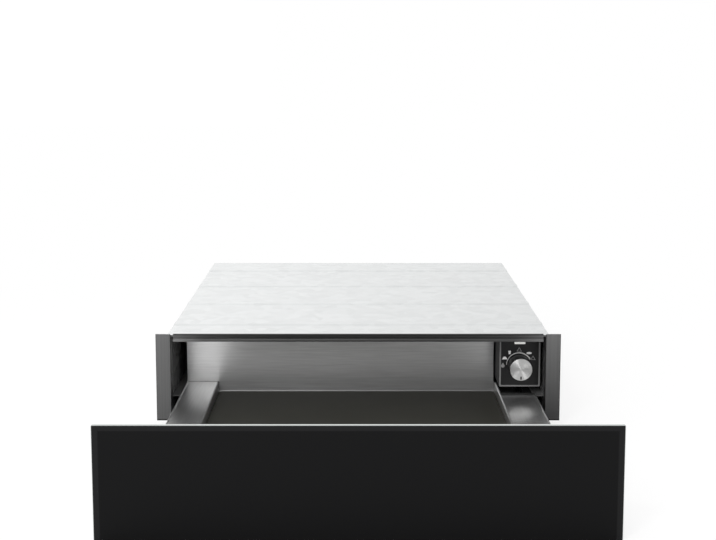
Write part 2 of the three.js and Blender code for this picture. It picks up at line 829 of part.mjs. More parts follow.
function controlPanel() {
  const plate = roundedRectangle([controlLeft, controlRight], [controlBottom, panelTop], panelCorner);
  const front = controlSetback - panelRimRise;
  const face = roundedRectangle(
    [controlLeft + panelRim, controlRight - panelRim],
    [controlBottom + panelRim, panelTop - panelRim],
    panelCorner,
  );
  const recess = sweep(face, 'y', front - seat, controlSetback);
  const behind = panelBack + seat;
  return cut(sweep(plate, 'y', front, panelBack), recess, lampHole(front, behind), neckHole(front, behind));
}

function lampLens() {
  const z = [lampZ - lampHeight / 2, lampZ + lampHeight / 2];
  const lens = roundedRectangle([lampX - lampWidth / 2, lampX + lampWidth / 2], z, lampCorner);
  return sweep(lens, 'y', controlSetback - seat, controlSetback + lampDepth);
}

function knobBody() {
  const radius = knobDiameter / 2;
  const bore = shaftDiameter / 2 + seat;
  const front = knobFront + knobCapThickness + seat;
  return turned([
    [0, front],
    [radius - knobTaper - knobRound, front],
    [radius - knobTaper, front + knobRound],
    [radius, knobBack - knobRound],
    [radius - knobRound, knobBack],
    [bore, knobBack],
    [bore, knobBack - knobBore],
    [0, knobBack - knobBore],
  ], knobX, knobZ);
}

function knobCap() {
  const radius = knobCapDiameter / 2;
  const disc = turned([
    [0, knobFront + knobCapDish],
    [radius / 2, knobFront + knobCapDish / 2],
    [radius - knobCapDish, knobFront],
    [radius, knobFront + knobCapDish],
    [radius, knobFront + knobCapThickness],
    [0, knobFront + knobCapThickness],
  ], knobX, knobZ);
  const tick = block(
    [knobX - tickWidth / 2, knobX + tickWidth / 2],
    [knobFront - seat, knobFront + 2 * knobCapThickness],
    [knobZ - tickRadius - tickLength / 2, knobZ - tickRadius + tickLength / 2],
  );
  return cut(disc, tick);
}

const shaftEnd = panelBack + seat + controlWall + seat + regulatorDepth / 2;

function regulator() {
  const front = panelBack + seat + controlWall + seat;
  const back = front + regulatorDepth;
  const body = block(
    [knobX - regulatorWidth / 2, knobX + regulatorWidth / 2],
    [front, back],
    [knobZ - regulatorHeight / 2, knobZ + regulatorHeight / 2],
  );
  const neck = rodAlongY(regulatorNeck, knobX, knobZ, controlSetback, front + seat);
  const tabs = spread(regulatorTabs, tabPitch).map((offset) => block(
    [knobX + offset - tabWidth / 2, knobX + offset + tabWidth / 2],
    [back - seat, back + tabLength],
    [knobZ - tabThickness / 2, knobZ + tabThickness / 2],
  ));
  const bore = rodAlongY(shaftDiameter + 2 * seat, knobX, knobZ, controlSetback - seat, shaftEnd + seat);
  return cut(join(body, neck, ...tabs), bore);
}

function regulatorShaft() {
  return rodAlongY(shaftDiameter, knobX, knobZ, knobBack - knobBore + seat, shaftEnd);
}

add('control_housing', controlHousing(), painted);
add('control_panel', controlPanel(), blackPlastic);
add('pilot_lamp_lens', lampLens(), lampWhite);
add('temperature_regulator', regulator(), ceramic);
add('regulator_shaft', regulatorShaft(), zinc);
add('knob_body', knobBody(), blackPlastic);
add('knob_cap', knobCap(), spunAluminium);

// Rear compartment: baffle, fan, motor, heating element and safety thermostat
function baffle() {
  const half = innerHalf - seat;
  const notch = half - sideFlange;
  const [bottom, top] = [bodySheet + seat, roofBottom - seat];
  const [low, high] = [flangeBottom + bendRadius + seat, flangeTop - bendRadius - seat];
  const shape = outline([
    [-notch, bottom], [notch, bottom], [notch, low], [half, low],
    [half, high], [notch, high], [notch, top], [-notch, top],
    [-notch, high], [-half, high], [-half, low], [-notch, low],
  ]);
  spread(intakeSlots, intakeSlotPitch).forEach((offset) => {
    const chord = 2 * Math.sqrt(intakeRadius ** 2 - offset ** 2);
    shape.holes.push(slot(0, fanZ + offset, chord, intakeSlotWidth));
  });
  spread(outletSlots, outletSlotPitch).forEach((x) => {
    shape.holes.push(slot(x, bodyHeight - outletDrop, outletSlotLength, outletSlotWidth));
  });
  sides.forEach(([, side]) => {
    shape.holes.push(circle(side * latchOffset, latchRise, plungerDiameter + 2 * runningGap));
  });
  return sweep(shape, 'y', baffleFront, baffleBack, 0, slotSteps);
}

// One blade, from its root to its tip, turned forward as it goes out.
function bladeOutline(root, tip) {
  const at = (share, offset) => {
    const distance = root + share * (tip - root);
    const angle = share * fanBladeSweep + offset / distance;
    return [distance * Math.cos(angle), distance * Math.sin(angle)];
  };
  const stations = Array.from({ length: fanBladeSteps + 1 }, (_, i) => i / fanBladeSteps);
  const upper = stations.map((share) => at(share, fanBladeSheet / 2));
  const lower = stations.map((share) => at(share, -fanBladeSheet / 2)).reverse();
  return outline([...upper, ...lower]);
}

function fanImpeller() {
  const radius = fanDiameter / 2;
  const bladeShape = bladeOutline(radius - fanBladeLength, radius - fanBladeInset);
  const blade = sweep(bladeShape, 'y', fanFront, fanBack - fanPlate / 2);
  const blades = Array.from({ length: fanBlades }, (_, i) => (
    blade.clone().rotateY((2 * Math.PI * i) / fanBlades).translate(0, 0, fanZ)
  ));
  const plate = rodAlongY(fanDiameter, 0, fanZ, fanBack - fanPlate, fanBack);
  const rimDisc = rodAlongY(fanDiameter, 0, fanZ, fanFront, fanFront + fanPlate);
  const eye = fanDiameter - 2 * fanRing;
  const rimEye = rodAlongY(eye, 0, fanZ, fanFront - seat, fanFront + fanPlate + seat);
  const hub = rodAlongY(fanHubDiameter, 0, fanZ, fanBack - fanWidth / 2, fanBack + fanPlate);
  const bore = rodAlongY(fanShaftDiameter + 2 * seat, 0, fanZ, fanBack - fanWidth, fanBack + fanWidth);
  return cut(join(plate, cut(rimDisc, rimEye), hub, ...blades), bore);
}

function motorRotor() {
  const rotor = rodAlongY(rotorDiameter, 0, fanZ, motorFront, motorBack);
  const shaft = rodAlongY(fanShaftDiameter, 0, fanZ, fanBack - fanWidth / 2, motorBack + motorGap / 2);
  return join(rotor, shaft);
}

// The laminated core: an eye for the rotor and a window for the near side of the coil.
function motorCore() {
  const height = [fanZ - motorHeight / 2, fanZ + motorHeight / 2];
  const shape = roundedRectangle([-motorNear, motorFar], height, motorCorner);
  const limb = motorFar - motorLimb;
  const window = outline([
    [limb - coilWall - seat, fanZ - motorHeight / 2 + motorYoke],
    [limb, fanZ - motorHeight / 2 + motorYoke],
    [limb, fanZ + motorHeight / 2 - motorYoke],
    [limb - coilWall - seat, fanZ + motorHeight / 2 - motorYoke],
  ]);
  shape.holes.push(window, circle(0, fanZ, rotorDiameter + 2 * runningGap));
  return sweep(shape, 'y', motorFront, motorBack);
}

function motorCoil() {
  const x = [motorFar - motorLimb - coilWall, motorFar + coilWall];
  const shape = roundedRectangle(x, [motorFront - coilWall, motorBack + coilWall], coilCorner);
  shape.holes.push(outline([
    [motorFar - motorLimb - seat, motorFront - seat],
    [motorFar + seat, motorFront - seat],
    [motorFar + seat, motorBack + seat],
    [motorFar - motorLimb - seat, motorBack + seat],
  ]));
  return sweep(shape, 'z', fanZ - coilLength / 2, fanZ + coilLength / 2);
}

function motorStrap() {
  const foot = shellEnd - strapSheet / 2;
  const web = motorBack + seat + strapSheet / 2;
  const section = foldedSheet([
    [-strapHalf - strapFoot, foot],
    [-strapHalf, foot],
    [-strapHalf, web],
    [strapHalf, web],
    [strapHalf, foot],
    [strapHalf + strapFoot, foot],
  ], strapSheet);
  const strap = sweep(section, 'z', fanZ - strapWidth / 2, fanZ + strapWidth / 2);
  return cut(strap, rodAlongY(strapHole, 0, fanZ, motorBack, motorBack + motorGap));
}

const elementRise = Math.sqrt(elementRadius ** 2 - elementLeg ** 2); // from the legs up to the shaft

// A tube bent to a ring round the fan, with both ends led back to the flange.
function heatingElement() {
  const ringY = (fanFront + fanBack) / 2;
  const bend = 2 * elementTube;
  const opening = Math.asin(elementLeg / elementRadius);
  const first = -Math.PI / 2 - opening - bend / elementRadius;
  const last = -2.5 * Math.PI + opening + bend / elementRadius;
  const leg = (side) => [shellEnd, (shellEnd + ringY) / 2, ringY + bend].map((y) => (
    new THREE.Vector3(side * elementLeg, y, fanZ - elementRise)
  ));
  const ring = Array.from({ length: turnedSides + 1 }, (_, i) => {
    const angle = first + ((last - first) * i) / turnedSides;
    return new THREE.Vector3(elementRadius * Math.cos(angle), ringY, fanZ + elementRadius * Math.sin(angle));
  });
  const points = [...leg(-1), ...ring, ...leg(1).reverse()];
  const path = new THREE.CatmullRomCurve3(points, false, 'centripetal');
  const section = outline(Array.from({ length: elementSides }, (_, i) => {
    const angle = (2 * Math.PI * i) / elementSides;
    return [(elementTube / 2) * Math.cos(angle), (elementTube / 2) * Math.sin(angle)];
  }));
  return new THREE.ExtrudeGeometry(section, { steps: elementSteps, extrudePath: path, bevelEnabled: false });
}

function elementFlange() {
  const z = fanZ - elementRise;
  const plate = slot(0, z, flangeWidth, flangeHeight);
  sides.forEach(([, side]) => plate.holes.push(circle(side * elementLeg, z, elementTube + 2 * runningGap)));
  return sweep(plate, 'y', shellEnd - flangeSheet, shellEnd);
}

function safetyThermostat() {
  const front = baffleBack + seat;
  const radius = thermostatDiameter / 2;
  const cap = turned([
    [0, front],
    [radius, front],
    [radius, front + thermostatHeight / 2],
    [radius - thermostatStep, front + thermostatHeight / 2],
    [radius - thermostatStep, front + thermostatHeight],
    [0, front + thermostatHeight],
  ], thermostatOffset, fanZ + thermostatRise, turnedSides);
  const tabs = [-1, 1].map((way) => {
    const x = thermostatOffset + (way * tabWidth) / 2;
    return block(
      [x - tabThickness / 2, x + tabThickness / 2],
      [front + thermostatHeight - seat, front + thermostatHeight + tabLength],
      [fanZ + thermostatRise - tabWidth / 2, fanZ + thermostatRise + tabWidth / 2],
    );
  });
  return join(cap, ...tabs);
}

add('rear_baffle', baffle(), painted);
add('fan_impeller', fanImpeller(), zinc);
add('motor_rotor', motorRotor(), zinc);
add('motor_core', motorCore(), painted);
add('motor_coil', motorCoil(), copper);
add('motor_strap', motorStrap(), zinc);
add('heating_element', heatingElement(), zinc);
add('element_flange', elementFlange(), zinc);
add('safety_thermostat', safetyThermostat(), ceramic);

// Push latches: the closed drawer stops against their sprung plungers
function latchHousing(side) {
  const x = side * latchOffset;
  const width = [x - latchWidth / 2, x + latchWidth / 2];
  const height = [latchRise - latchHeight / 2, latchRise + latchHeight / 2];
  const body = sweep(
    roundedRectangle(width, height, latchCorner), 'y', latchFront, latchFront + latchLength,
  );
  const bore = plungerDiameter + 2 * seat;
  return cut(body, rodAlongY(bore, x, latchRise, latchFront - seat, latchFront + latchBoreLength));
}

function latchPlunger(side) {
  const [rod, tip] = [plungerDiameter / 2, plungerTip / 2];
  return turned([
    [0, plungerFront],
    [rod, plungerFront],
    [tip, plungerFront + plungerTipLength / 2],
    [tip, plungerFront + plungerTipLength],
    [rod, plungerFront + plungerTipLength],
    [rod, plungerFront + plungerLength],
    [0, plungerFront + plungerLength],
  ], side * latchOffset, latchRise, turnedSides);
}

sides.forEach(([word, side]) => {
  add(`${word}_latch_housing`, latchHousing(side), blackPlastic);
  add(`${word}_latch_plunger`, latchPlunger(side), blackPlastic);
});

// Mains inlet: bushing in the rear panel and terminal block behind it
function inletBushing() {
  const bore = inletBore / 2;
  const neck = bore + inletWall;
  const flange = neck + inletFlange;
  const outside = bodyDepth + seat;
  return turned([
    [bore, rearInside - inletNeck],
    [neck, rearInside - inletNeck],
    [neck, outside],
    [flange, outside],
    [flange, outside + inletFlangeThickness / 2],
    [neck, outside + inletFlangeThickness],
    [bore, outside + inletFlangeThickness],
    [bore, rearInside - inletNeck],
  ], inletOffset, inletZ, turnedSides);
}

function terminalBlock() {
  const middle = inletOffset - blockOffset;
  const width = blockWays * blockPitch;
  const front = shellEnd - blockDepth;
  const z = [inletZ - blockHeight / 2, inletZ + blockHeight / 2];
  const body = block([middle - width / 2, middle + width / 2], [front, shellEnd], z);
  const notches = spread(blockWays - 1, blockPitch).map((offset) => block(
    [middle + offset - blockNotch / 2, middle + offset + blockNotch / 2],
    [front - seat, front + blockNotchDepth],
    [z[0] - seat, z[1] + seat],
  ));
  const wells = spread(blockWays, blockPitch).map((offset) => (
    rodAlongY(blockWell, middle + offset, inletZ, front - seat, front + blockNotchDepth, blockWellSides)
  ));
  return cut(body, ...notches, ...wells);
}

add('inlet_bushing', inletBushing(), blackPlastic);
add('terminal_block', terminalBlock(), ceramic);

export default group;
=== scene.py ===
# A built-in warming drawer, drawn out of its cabinet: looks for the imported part.
# Metres, in the part's own frame: X to the right, Y into the housing, Z up.
import math

import bmesh
import bpy
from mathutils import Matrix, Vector


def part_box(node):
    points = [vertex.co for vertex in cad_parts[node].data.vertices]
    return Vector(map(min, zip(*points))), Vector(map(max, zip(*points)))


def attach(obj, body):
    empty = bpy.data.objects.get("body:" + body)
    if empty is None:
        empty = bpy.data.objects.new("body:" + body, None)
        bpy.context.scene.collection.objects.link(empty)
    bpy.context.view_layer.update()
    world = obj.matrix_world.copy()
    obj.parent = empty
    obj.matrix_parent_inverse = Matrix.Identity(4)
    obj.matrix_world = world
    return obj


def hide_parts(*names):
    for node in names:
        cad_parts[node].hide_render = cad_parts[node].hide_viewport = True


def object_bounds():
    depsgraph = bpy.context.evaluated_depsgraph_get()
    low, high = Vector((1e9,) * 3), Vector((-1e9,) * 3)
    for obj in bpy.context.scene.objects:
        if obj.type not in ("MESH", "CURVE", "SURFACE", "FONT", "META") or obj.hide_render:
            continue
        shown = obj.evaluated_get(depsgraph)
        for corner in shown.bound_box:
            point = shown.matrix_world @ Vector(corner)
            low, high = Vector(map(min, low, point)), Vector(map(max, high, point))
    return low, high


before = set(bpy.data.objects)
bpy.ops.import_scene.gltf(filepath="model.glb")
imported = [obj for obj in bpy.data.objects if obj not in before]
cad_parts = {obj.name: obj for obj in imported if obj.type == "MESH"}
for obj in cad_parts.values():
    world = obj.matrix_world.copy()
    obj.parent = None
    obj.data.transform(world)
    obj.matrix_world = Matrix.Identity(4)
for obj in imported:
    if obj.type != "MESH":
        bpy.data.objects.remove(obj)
cad_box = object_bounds()

# ---- Cabinet shell ----
# Base pan, side panels, beaded roof and rear panel: 1 to 1.2 mm galvanised sheet, bought
# lacquered on one side and then folded. The baffle and the channels that carry the slides
# are plain steel sheet, sprayed with polyester powder and baked after folding.
MM = 0.001  # sizes named in capitals are in millimetres, unless they say otherwise
X, Y, Z = 0, 1, 2


def linear(hex_colour):
    """An sRGB hex colour as the linear colour that a socket takes."""
    parts = [int(hex_colour[i : i + 2], 16) / 255 for i in (1, 3, 5)]
    return [c / 12.92 if c <= 0.04045 else ((c + 0.055) / 1.055) ** 2.4 for c in parts] + [1.0]


def add(finish, kind, sockets=None, **settings):
    """Adds one node to a finish, with its settings, and fills or links its sockets."""
    node = finish.node_tree.nodes.new("ShaderNode" + kind)
    for name, value in settings.items():
        setattr(node, name, value)
    for name, value in (sockets or {}).items():
        if isinstance(value, bpy.types.NodeSocket):
            finish.node_tree.links.new(value, node.inputs[name])
        else:
            node.inputs[name].default_value = value
    return node


def bare_finish(name):
    """A material with an empty node tree, and the place on the piece in metres."""
    finish = bpy.data.materials.new(name)
    finish.use_nodes = True
    finish.node_tree.nodes.clear()
    return finish, add(finish, "TexCoord").outputs["Object"]


def dress(finish, *nodes):
    """Gives CAD nodes a finish in place of the plain one they were packed with."""
    for name in nodes:
        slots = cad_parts[name].data.materials
        slots.clear()
        slots.append(finish)


def folded_edges(finish, radius, first_turn, most):
    """The normal of a sheet's rounded folds, and how near each place is to the fold."""
    FULL_TURN = 0.8  # cosine of the turn on the fold itself; first_turn is where it begins
    rounded = add(finish, "Bevel", {"Radius": radius * MM}, samples=4)
    flat = add(finish, "NewGeometry").outputs["Normal"]
    turn = add(finish, "VectorMath", {0: rounded.outputs[0], 1: flat}, operation="DOT_PRODUCT")
    nearness = add(finish, "MapRange", {
        "Value": turn.outputs["Value"], "From Min": first_turn, "From Max": FULL_TURN,
        "To Min": 0.0, "To Max": most,
    })
    return rounded.outputs[0], nearness.outputs[0]


def powder_coat(name, colour, worn, roughness):
    """Satin powder coat: a fine orange peel breaks the highlights, and the coat is thinner
    and a little paler along the folded edges, where hands and tools have rubbed it."""
    PEEL, CLOUD, FOLD = 1.4, 90, 0.7
    UNEVEN = 0.06
    coat, place = bare_finish(name)
    peel = add(coat, "TexNoise", {"Vector": place, "Scale": 1 / (PEEL * MM), "Detail": 2.0})
    cloud = add(coat, "TexNoise", {"Vector": place, "Scale": 1 / (CLOUD * MM), "Detail": 3.0})
    rounded, edge = folded_edges(coat, FOLD, first_turn=0.995, most=0.7)
    rubbed = add(coat, "Math", {0: edge, 1: cloud.outputs[0]}, operation="MULTIPLY")
    tone = add(coat, "Mix", {
        0: rubbed.outputs[0], 6: linear(colour), 7: linear(worn),
    }, data_type="RGBA")
    gloss = add(coat, "MapRange", {
        "Value": cloud.outputs[0], "From Min": 0.3, "From Max": 0.7,
        "To Min": roughness - UNEVEN, "To Max": roughness + UNEVEN,
    })
    bump = add(coat, "Bump", {
        "Height": peel.outputs[0], "Strength": 0.35, "Distance": 0.05 * MM, "Normal": rounded,
    })
    shader = add(coat, "BsdfPrincipled", {
        "Base Color": tone.outputs[2], "Roughness": gloss.outputs[0], "IOR": 1.5,
        "Normal": bump.outputs[0],
    })
    add(coat, "OutputMaterial", {"Surface": shader.outputs[0]})
    return coat


black_coat = powder_coat("satin_black_powder_coat", "#202022", worn="#5a5a5c", roughness=0.46)
dress(black_coat, "rear_baffle")
channel_coat = powder_coat("dark_grey_powder_coat", "#686868", worn="#808080", roughness=0.5)
dress(channel_coat, "left_slide_channel", "right_slide_channel")

# The galvanised sheet: grey lacquer, which looks black in the shade, where a face looks into
# the cabinet or out at its opening, and bare zinc with a frosty spangle elsewhere and under
# the roof. Which side is which comes from the way that a face looks from the cabinet's middle.
MIDDLE = Vector((0, 260, 64)) * MM
MOSTLY = -0.5  # a face that looks mostly out of the opening, or mostly down
SPANGLE, FROST, FOLD = 16, 1.2, 0.7
sheet, place = bare_finish("galvanised_sheet_lacquered_inside")
from_middle = add(sheet, "VectorMath", {0: place, 1: MIDDLE}, operation="SUBTRACT")
facing = add(sheet, "NewGeometry").outputs["Normal"]
side = add(sheet, "VectorMath", {0: from_middle.outputs[0], 1: facing}, operation="DOT_PRODUCT")
outside = add(sheet, "Math", {0: side.outputs["Value"], 1: 0.0}, operation="GREATER_THAN")
ways = add(sheet, "SeparateXYZ", {0: facing})
hidden = add(sheet, "Math", {0: ways.outputs[Y], 1: MOSTLY}, operation="GREATER_THAN")
unseen = add(sheet, "Math", {0: outside.outputs[0], 1: hidden.outputs[0]}, operation="MULTIPLY")
ceiling = add(sheet, "Math", {0: ways.outputs[Z], 1: MOSTLY}, operation="LESS_THAN")
bare = add(sheet, "Math", {0: unseen.outputs[0], 1: ceiling.outputs[0]}, operation="MAXIMUM")
spangle = add(sheet, "TexVoronoi", {"Vector": place, "Scale": 1 / (SPANGLE * MM)})
frost = add(sheet, "TexNoise", {"Vector": place, "Scale": 1 / (FROST * MM), "Detail": 3.0})
flower = add(sheet, "SeparateColor", {0: spangle.outputs["Color"]})
zinc_tone = add(sheet, "Mix", {
    0: flower.outputs[0], 6: linear("#e1e3e3"), 7: linear("#e9ebeb"),
}, data_type="RGBA")
tone = add(sheet, "Mix", {
    0: bare.outputs[0], 6: linear("#747474"), 7: zinc_tone.outputs[2],
}, data_type="RGBA")
zinc_gloss = add(sheet, "MapRange", {
    "Value": flower.outputs[1], "From Min": 0.0, "From Max": 1.0, "To Min": 0.2, "To Max": 0.26,
})
rounded = add(sheet, "Bevel", {"Radius": FOLD * MM}, samples=4)
bump = add(sheet, "Bump", {
    "Height": frost.outputs[0], "Strength": 0.2, "Distance": 0.03 * MM,
    "Normal": rounded.outputs[0],
})
shader = add(sheet, "BsdfPrincipled", {
    "Base Color": tone.outputs[2], "Metallic": bare.outputs[0],
    "Roughness": zinc_gloss.outputs[0], "Normal": bump.outputs[0],
})
add(sheet, "OutputMaterial", {"Surface": shader.outputs[0]})
dress(sheet, "base_pan", "left_side_panel", "right_side_panel", "roof_panel", "rear_panel")

# ---- Front frame ----
# Two columns and the bar above the opening: aluminium extrusions, cut to length and anodised
# dark grey, with the die's fine lines along their length. Hooked on the shell from behind.


def painted_light_faded(finish, place, tint, painted_light_fades):
    """A colour with painted light laid along axes: whole at one place, and a share of it for
    painted shade, or more than the whole for a painted highlight, at another. A fade is the axis,
    the two places in mm and the share."""
    apart = add(finish, "SeparateXYZ", {0: place})
    for axis, start, end, share in painted_light_fades:
        fade = add(finish, "MapRange", {
            "Value": apart.outputs[axis], "From Min": start * MM, "From Max": end * MM,
            "To Min": 1.0, "To Max": share,
        })
        scaled = add(finish, "VectorMath", {0: tint, "Scale": fade.outputs[0]}, operation="SCALE")
        tint = scaled.outputs[0]
    return tint


def anodised_extrusion(name, colour, pale, along, roughness, painted_light_fades):
    """Satin anodised aluminium: metal under a tinted oxide, paler on its edges, with the die's
    lines one way, and with painted shade and highlights laid along the given axes."""
    LINE, RUN = 1.8, 400  # the die's lines, drawn wider than real so that they show
    FOLD = 0.5
    coat, place = bare_finish(name)
    stretch = [1 / (LINE * MM)] * 3
    stretch[along] = 1 / (RUN * MM)
    lines = add(coat, "Mapping", {"Vector": place, "Scale": stretch})
    drawn = add(coat, "TexNoise", {"Vector": lines.outputs[0], "Scale": 1.0, "Detail": 3.0})
    rounded, edge = folded_edges(coat, FOLD, first_turn=0.99, most=1.0)
    streak = add(coat, "MapRange", {
        "Value": drawn.outputs[0], "From Min": 0.3, "From Max": 0.7, "To Min": 0.0, "To Max": 0.6,
    })
    share = add(coat, "Math", {0: edge, 1: streak.outputs[0]}, operation="MAXIMUM")
    tone = add(coat, "Mix", {
        0: share.outputs[0], 6: linear(colour), 7: linear(pale),
    }, data_type="RGBA")
    gloss = add(coat, "MapRange", {
        "Value": drawn.outputs[0], "From Min": 0.3, "From Max": 0.7,
        "To Min": roughness - 0.05, "To Max": roughness + 0.07,
    })
    bump = add(coat, "Bump", {
        "Height": drawn.outputs[0], "Strength": 0.25, "Distance": 0.04 * MM, "Normal": rounded,
    })
    shader = add(coat, "BsdfPrincipled", {
        "Base Color": painted_light_faded(coat, place, tone.outputs[2], painted_light_fades), "Metallic": 0.85,
        "Roughness": gloss.outputs[0], "Normal": bump.outputs[0],
    })
    add(coat, "OutputMaterial", {"Surface": shader.outputs[0]})
    return coat


# Painted shade on the columns: darker towards their feet, much more so on the right one, and
# darkest round the sawn foot and along the outer corner. Each side gets its own shaded copy.
HEADS, FEET = 125, 10
FOOT_SHADE = (Z, 2.5, 1.5, 0.3)
CORNER_FROM, CORNER_TO, CORNER_SHADE = 293.6, 294.4, 0.5
for side, way, colour, pale, foot_shade in (
    ("left", -1, "#676767", "#7c7c7c", 0.7), ("right", 1, "#696969", "#7e7e7e", 0.36),
):
    outer_corner_shade = (X, way * CORNER_FROM, way * CORNER_TO, CORNER_SHADE)
    column = anodised_extrusion(
        f"dark_anodised_column_painted_shade_{side}", colour, pale, along=Z, roughness=0.4,
        painted_light_fades=[(Z, HEADS, FEET, foot_shade), FOOT_SHADE, outer_corner_shade],
    )
    dress(column, f"{side}_front_column")

# Painted light on the bar: painted highlights make the lip and both ends paler, and a painted
# shade line darkens the top edge.
LIP_HIGHLIGHT = (Z, 122, 121.5, 1.45)
TOP_EDGE_SHADE = (Z, 127.6, 128.6, 0.1)
END_FROM, END_TO, END_HIGHLIGHT = 225, 265, 1.9
end_highlights = [(X, way * END_FROM, way * END_TO, END_HIGHLIGHT) for way in (1, -1)]
bar = anodised_extrusion(
    "black_anodised_bar_painted_light", "#414141", "#565656", along=X, roughness=0.38,
    painted_light_fades=[LIP_HIGHLIGHT, TOP_EDGE_SHADE, *end_highlights],
)
dress(bar, "top_front_bar")

# ---- Slides ----
# Two slides of three rolled members each, in cold-rolled steel with bright zinc, with balls
# of hardened steel in pressed cages. The outer member is fixed to its channel, and the
# inner one to the hanger under the tray's ledge.


def zinc_plate(name, colour, dull, roughness, flake=2.2):
    """Bright zinc: thin plating with soft clouds where the bath left it thicker."""
    CLOUD, FOLD = 14, 0.35
    plate, place = bare_finish(name)
    clouds = add(plate, "TexNoise", {"Vector": place, "Scale": 1 / (CLOUD * MM), "Detail": 4.0})
    grain = add(plate, "TexNoise", {"Vector": place, "Scale": 1 / (flake * MM), "Detail": 3.0})
    rounded = add(plate, "Bevel", {"Radius": FOLD * MM}, samples=4)
    share = add(plate, "MapRange", {
        "Value": clouds.outputs[0], "From Min": 0.35, "From Max": 0.65,
        "To Min": 0.0, "To Max": 1.0,
    })
    tone = add(plate, "Mix", {
        0: share.outputs[0], 6: linear(colour), 7: linear(dull),
    }, data_type="RGBA")
    gloss = add(plate, "MapRange", {
        "Value": grain.outputs[0], "From Min": 0.3, "From Max": 0.7,
        "To Min": roughness - 0.05, "To Max": roughness + 0.08,
    })
    bump = add(plate, "Bump", {
        "Height": grain.outputs[0], "Strength": 0.15, "Distance": 0.03 * MM,
        "Normal": rounded.outputs[0],
    })
    shader = add(plate, "BsdfPrincipled", {
        "Base Color": tone.outputs[2], "Metallic": 1.0, "Roughness": gloss.outputs[0],
        "Normal": bump.outputs[0],
    })
    add(plate, "OutputMaterial", {"Surface": shader.outputs[0]})
    return plate


rail_zinc = zinc_plate("bright_zinc_plate", "#b9bcbf", dull="#9a9da1", roughness=0.3)
for side in ("left", "right"):
    dress(
        rail_zinc,
        f"{side}_outer_rail", f"{side}_middle_rail", f"{side}_inner_rail",
        f"{side}_outer_ball_cage", f"{side}_inner_ball_cage", f"{side}_ledge_hanger",
    )

# ---- Drawer tray and back wall ----
# One folded sheet of stainless steel for the recess and both ledges, and another for the
# wall, brushed before folding. The film is peeled off after assembly, so it stays clean.


def brushed_stainless(
    name, colour, bright, along, across, metal, roughness, uneven, lean=(0, 0, 0), painted_light_fades=(),
):
    """Brushed steel: long fine scratches that spread the light across them. Its reflections
    also show whether the sheet leans a little, and painted shade can be laid along axes."""
    SCRATCH = 0.3  # a 240 grit scratch is far finer: this is as wide as it needs to show
    STREAK, RUN, FOLD = 2.5, 50, 0.3
    steel, place = bare_finish(name)
    fine = [1 / (SCRATCH * MM)] * 3
    fine[along] = 1 / (RUN * MM)
    broad = [1 / (STREAK * MM)] * 3
    broad[along] = 1 / (RUN * MM)
    fine_run = add(steel, "Mapping", {"Vector": place, "Scale": fine})
    broad_run = add(steel, "Mapping", {"Vector": place, "Scale": broad})
    scratches = add(steel, "TexNoise", {
        "Vector": fine_run.outputs[0], "Scale": 1.0, "Detail": 4.0,
    })
    bands = add(steel, "TexNoise", {"Vector": broad_run.outputs[0], "Scale": 1.0, "Detail": 2.0})
    both = add(steel, "Math", {0: scratches.outputs[0], 1: bands.outputs[0]}, operation="ADD")
    share = add(steel, "MapRange", {
        "Value": both.outputs[0], "From Min": 0.7, "From Max": 1.3, "To Min": 0.0, "To Max": 1.0,
    })
    tone = add(steel, "Mix", {
        0: share.outputs[0], 6: linear(colour), 7: linear(bright),
    }, data_type="RGBA")
    gloss = add(steel, "MapRange", {
        "Value": scratches.outputs[0], "From Min": 0.3, "From Max": 0.7,
        "To Min": roughness - uneven, "To Max": roughness + uneven,
    })
    rounded = add(steel, "Bevel", {"Radius": FOLD * MM}, samples=4)
    bump = add(steel, "Bump", {
        "Height": scratches.outputs[0], "Strength": 0.03, "Distance": 0.02 * MM,
        "Normal": rounded.outputs[0],
    })
    leaning = add(steel, "VectorMath", {0: bump.outputs[0], 1: lean}, operation="ADD")
    normal = add(steel, "VectorMath", {0: leaning.outputs[0]}, operation="NORMALIZE")
    spread = add(steel, "CombineXYZ", {across: 1.0})
    shader = add(steel, "BsdfPrincipled", {
        "Base Color": painted_light_faded(steel, place, tone.outputs[2], painted_light_fades), "Metallic": metal,
        "Roughness": gloss.outputs[0], "Anisotropic": 0.6, "Tangent": spread.outputs[0],
        "Normal": normal.outputs[0],
    })
    add(steel, "OutputMaterial", {"Surface": shader.outputs[0]})
    return steel


# The reflections on the ledges lean some four degrees to the front, with the knob and the
# panel's rim as soft images. The wall carries painted shade: darker towards the mat, in its
# lowest fold and on the left.
TRAY_LEAN = (0, -0.075, 0)
tray_steel = brushed_stainless(
    "stainless_brushed_lengthwise", "#dadada", "#e6e6e6", along=Y, across=X,
    metal=0.95, roughness=0.3, uneven=0.02, lean=TRAY_LEAN,
)
SHADE_TOWARDS_MAT = (Z, 90, 30, 0.46)
SHADE_IN_LOWEST_FOLD = (Z, 17.5, 16, 0.65)
SHADE_TOWARDS_LEFT = (X, -60, -170, 0.9)
wall_steel = brushed_stainless(
    "stainless_brushed_crosswise_painted_shade", "#e4e4e4", "#f8f8f8", along=X, across=Z,
    metal=1.0, roughness=0.42, uneven=0.06, painted_light_fades=(SHADE_TOWARDS_MAT, SHADE_IN_LOWEST_FOLD, SHADE_TOWARDS_LEFT),
)
dress(tray_steel, "drawer_tray")
dress(wall_steel, "drawer_back_wall", "inner_front")

